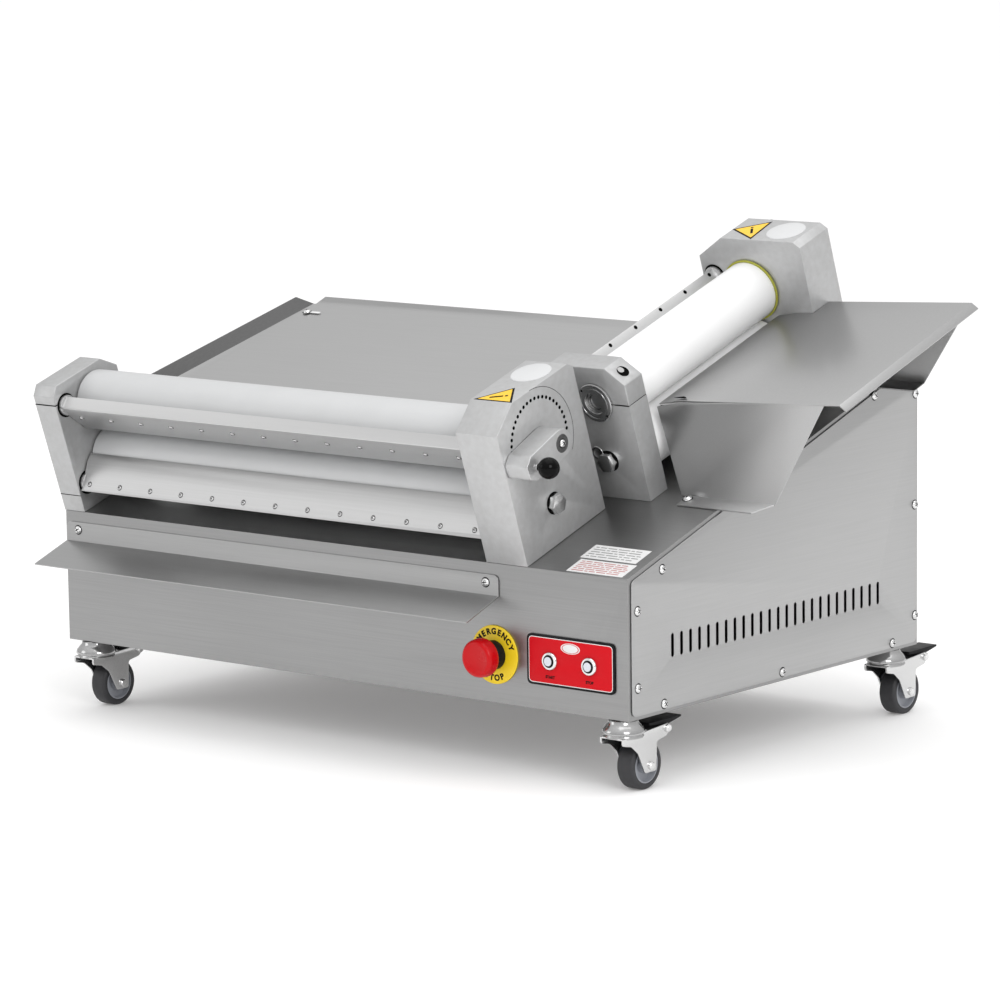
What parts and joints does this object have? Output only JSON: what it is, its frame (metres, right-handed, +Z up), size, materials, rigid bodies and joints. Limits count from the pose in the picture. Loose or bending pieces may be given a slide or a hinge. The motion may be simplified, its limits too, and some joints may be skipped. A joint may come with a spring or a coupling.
{
  "type": "dough sheeter",
  "caption": "Bench dough sheeter on casters with a side feed roller pair and hopper, a slide plate, a front roller pair and a catch tray",
  "frame": {"origin": "centre of the bounding box's footprint, on the floor under the casters", "axes": "+X to the machine's right, where the hopper is; +Y to its back; +Z up"},
  "size_m": [0.9244, 0.602, 0.5321],
  "materials": {
    "stainless": "brushed",
    "cast_aluminium": "cast, satin",
    "scraper_aluminium": "bright, satin",
    "machined_steel": "machined",
    "zinc_plate": "bright zinc plate",
    "white_plastic": "satin",
    "black_plastic": "gloss",
    "red_plastic": "gloss",
    "yellow_plastic": "matte",
    "panel_red": "satin",
    "grey_rubber": "matte",
    "motor_paint": "satin paint"
  },
  "bodies": {
    "frame": {"cabinet_shell": "stainless", "side_cover_right": "stainless", "side_cover_left": "stainless", "front_tray": "stainless", "slide_plate": "stainless", "hopper": "stainless", "front_block": "cast_aluminium", "front_block_cap": "cast_aluminium", "front_housing": "cast_aluminium", "front_chain": "machined_steel", "front_axle_bolt": "zinc_plate", "feed_block": "cast_aluminium", "feed_block_cap": "cast_aluminium", "feed_housing": "cast_aluminium", "feed_chain": "machined_steel", "feed_axle_bolt": "zinc_plate", "gearbox": "motor_paint", "motor": "motor_paint", "estop_ring": "yellow_plastic", "estop_body": "black_plastic", "control_panel": "panel_red"},
    "front_lower_roller": {"front_lower_shaft": "machined_steel", "front_lower_sleeve": "white_plastic"},
    "front_upper_roller": {"front_upper_shaft": "machined_steel", "front_upper_sleeve": "white_plastic"},
    "front_gap": {"front_carriage": "machined_steel", "front_bush": "machined_steel"},
    "front_lever": {"front_lever": "cast_aluminium"},
    "front_knob": {"front_lever_knob": "black_plastic"},
    "front_upper_scraper": {"front_upper_scraper": "scraper_aluminium"},
    "front_lower_scraper": {"front_lower_scraper": "scraper_aluminium"},
    "front_drive_shaft": {"front_drive_shaft": "machined_steel"},
    "feed_lower_roller": {"feed_lower_shaft": "machined_steel", "feed_lower_sleeve": "white_plastic"},
    "feed_upper_roller": {"feed_upper_shaft": "machined_steel", "feed_upper_sleeve": "white_plastic"},
    "feed_gap": {"feed_carriage": "machined_steel", "feed_bush": "machined_steel"},
    "feed_lever": {"feed_lever": "cast_aluminium"},
    "feed_knob": {"feed_lever_knob": "black_plastic"},
    "feed_upper_scraper": {"feed_upper_scraper": "scraper_aluminium"},
    "feed_lower_scraper": {"feed_lower_scraper": "scraper_aluminium"},
    "feed_drive_shaft": {"feed_drive_shaft": "machined_steel"},
    "estop_mushroom": {"estop_mushroom": "red_plastic"},
    "start_button": {"start_button": "white_plastic"},
    "stop_button": {"stop_button": "white_plastic"},
    "front_left_fork": {"front_left_fork": "zinc_plate"},
    "front_left_wheel": {"front_left_wheel": "grey_rubber"},
    "front_left_pedal": {"front_left_pedal": "black_plastic"},
    "back_left_fork": {"back_left_fork": "zinc_plate"},
    "back_left_wheel": {"back_left_wheel": "grey_rubber"},
    "back_left_pedal": {"back_left_pedal": "black_plastic"},
    "front_right_fork": {"front_right_fork": "zinc_plate"},
    "front_right_wheel": {"front_right_wheel": "grey_rubber"},
    "front_right_pedal": {"front_right_pedal": "black_plastic"},
    "back_right_fork": {"back_right_fork": "zinc_plate"},
    "back_right_wheel": {"back_right_wheel": "grey_rubber"},
    "back_right_pedal": {"back_right_pedal": "black_plastic"}
  },
  "joints": [
    {"name": "front_lower_spin", "type": "hinge", "parent": "frame", "child": "front_lower_roller", "pos_m": [-0.13307, -0.20497, 0.27692], "axis": [1, 0, 0], "continuous": true},
    {"name": "front_gap_slide", "type": "slide", "parent": "frame", "child": "front_gap", "axis": [0, -0.319, 0.9478], "range_m": [0, 0.006]},
    {"name": "front_upper_spin", "type": "hinge", "parent": "front_gap", "child": "front_upper_roller", "pos_m": [-0.13307, -0.22602, 0.33947], "axis": [1, 0, 0], "continuous": true},
    {"name": "front_lever_turn", "type": "hinge", "parent": "frame", "child": "front_lever", "pos_m": [0.20168, -0.22697, 0.34231], "axis": [-1, 0, 0], "range_deg": [0, 186.6]},
    {"name": "front_knob_pull", "type": "slide", "parent": "front_lever", "child": "front_knob", "axis": [1, 0, 0], "range_m": [0, 0.006], "stiffness_N_per_m": 600, "springref_m": -0.004},
    {"name": "front_upper_scraper_tilt", "type": "hinge", "parent": "frame", "child": "front_upper_scraper", "pos_m": [-0.13307, -0.27262, 0.3375], "axis": [-1, 0, 0], "range_deg": [0, 12], "stiffness_Nm_per_rad": 2, "springref_deg": -8.59},
    {"name": "front_lower_scraper_tilt", "type": "hinge", "parent": "frame", "child": "front_lower_scraper", "pos_m": [-0.13307, -0.24328, 0.25031], "axis": [1, 0, 0], "range_deg": [0, 12], "stiffness_Nm_per_rad": 2, "springref_deg": -8.59},
    {"name": "front_drive_spin", "type": "hinge", "parent": "frame", "child": "front_drive_shaft", "pos_m": [0.17568, -0.17164, 0.17788], "axis": [1, 0, 0], "continuous": true},
    {"name": "feed_lower_spin", "type": "hinge", "parent": "frame", "child": "feed_lower_roller", "pos_m": [0.20018, 0.03577, 0.35793], "axis": [0, -0.9478, -0.319], "continuous": true},
    {"name": "feed_gap_slide", "type": "slide", "parent": "frame", "child": "feed_gap", "axis": [0, -0.319, 0.9478], "range_m": [0, 0.006]},
    {"name": "feed_upper_spin", "type": "hinge", "parent": "feed_gap", "child": "feed_upper_roller", "pos_m": [0.20018, 0.01472, 0.42049], "axis": [0, -0.9478, -0.319], "continuous": true},
    {"name": "feed_lever_turn", "type": "hinge", "parent": "frame", "child": "feed_lever", "pos_m": [0.20018, 0.18341, 0.48042], "axis": [0, 0.9478, 0.319], "range_deg": [0, 186.6]},
    {"name": "feed_knob_pull", "type": "slide", "parent": "feed_lever", "child": "feed_knob", "axis": [0, 0.9478, 0.319], "range_m": [0, 0.006], "stiffness_N_per_m": 600, "springref_m": -0.004},
    {"name": "feed_upper_scraper_tilt", "type": "hinge", "parent": "frame", "child": "feed_upper_scraper", "pos_m": [0.15538, 0.01057, 0.43281], "axis": [0, 0.9478, 0.319], "range_deg": [0, 12], "stiffness_Nm_per_rad": 2, "springref_deg": -8.59},
    {"name": "feed_lower_scraper_tilt", "type": "hinge", "parent": "frame", "child": "feed_lower_scraper", "pos_m": [0.15538, 0.03991, 0.34561], "axis": [0, -0.9478, -0.319], "range_deg": [0, 12], "stiffness_Nm_per_rad": 2, "springref_deg": -8.59},
    {"name": "feed_drive_spin", "type": "hinge", "parent": "frame", "child": "feed_drive_shaft", "pos_m": [0.20018, 0.21411, 0.30769], "axis": [0, -0.9478, -0.319], "continuous": true},
    {"name": "emergency_stop_push", "type": "slide", "parent": "frame", "child": "estop_mushroom", "axis": [0, 1, 0], "range_m": [0, 0.004]},
    {"name": "start_push", "type": "slide", "parent": "frame", "child": "start_button", "axis": [0, 1, 0], "range_m": [0, 0.003], "stiffness_N_per_m": 500, "springref_m": -0.002},
    {"name": "stop_push", "type": "slide", "parent": "frame", "child": "stop_button", "axis": [0, 1, 0], "range_m": [0, 0.003], "stiffness_N_per_m": 500, "springref_m": -0.002},
    {"name": "front_left_swivel", "type": "hinge", "parent": "frame", "child": "front_left_fork", "pos_m": [-0.41582, -0.23628, 0.065], "axis": [0, 0, 1], "continuous": true},
    {"name": "front_left_roll", "type": "hinge", "parent": "front_left_fork", "child": "front_left_wheel", "pos_m": [-0.41582, -0.21128, 0.025], "axis": [1, 0, 0], "continuous": true},
    {"name": "front_left_brake", "type": "hinge", "parent": "front_left_fork", "child": "front_left_pedal", "pos_m": [-0.41582, -0.18328, 0.0585], "axis": [-1, 0, 0], "range_deg": [0, 12]},
    {"name": "back_left_swivel", "type": "hinge", "parent": "frame", "child": "back_left_fork", "pos_m": [-0.41582, 0.22172, 0.065], "axis": [0, 0, 1], "continuous": true},
    {"name": "back_left_roll", "type": "hinge", "parent": "back_left_fork", "child": "back_left_wheel", "pos_m": [-0.41582, 0.24672, 0.025], "axis": [1, 0, 0], "continuous": true},
    {"name": "back_left_brake", "type": "hinge", "parent": "back_left_fork", "child": "back_left_pedal", "pos_m": [-0.41582, 0.27472, 0.0585], "axis": [-1, 0, 0], "range_deg": [0, 12]},
    {"name": "front_right_swivel", "type": "hinge", "parent": "frame", "child": "front_right_fork", "pos_m": [0.31118, -0.23628, 0.065], "axis": [0, 0, 1], "continuous": true},
    {"name": "front_right_roll", "type": "hinge", "parent": "front_right_fork", "child": "front_right_wheel", "pos_m": [0.31118, -0.21128, 0.025], "axis": [1, 0, 0], "continuous": true},
    {"name": "front_right_brake", "type": "hinge", "parent": "front_right_fork", "child": "front_right_pedal", "pos_m": [0.31118, -0.18328, 0.0585], "axis": [-1, 0, 0], "range_deg": [0, 12]},
    {"name": "back_right_swivel", "type": "hinge", "parent": "frame", "child": "back_right_fork", "pos_m": [0.31118, 0.22172, 0.065], "axis": [0, 0, 1], "continuous": true},
    {"name": "back_right_roll", "type": "hinge", "parent": "back_right_fork", "child": "back_right_wheel", "pos_m": [0.31118, 0.24672, 0.025], "axis": [1, 0, 0], "continuous": true},
    {"name": "back_right_brake", "type": "hinge", "parent": "back_right_fork", "child": "back_right_pedal", "pos_m": [0.31118, 0.27472, 0.0585], "axis": [-1, 0, 0], "range_deg": [0, 12]}
  ],
  "couplings": [
    {"joint": "front_lever_turn", "follows": "front_gap_slide", "rad_per_m": 542.79},
    {"joint": "front_upper_spin", "follows": "front_lower_spin", "ratio": -1},
    {"joint": "front_drive_spin", "follows": "front_lower_spin", "ratio": 1},
    {"joint": "feed_lever_turn", "follows": "feed_gap_slide", "rad_per_m": 542.79},
    {"joint": "feed_lower_spin", "follows": "front_lower_spin", "ratio": 1},
    {"joint": "feed_upper_spin", "follows": "front_lower_spin", "ratio": -1},
    {"joint": "feed_drive_spin", "follows": "front_lower_spin", "ratio": 1}
  ]
}
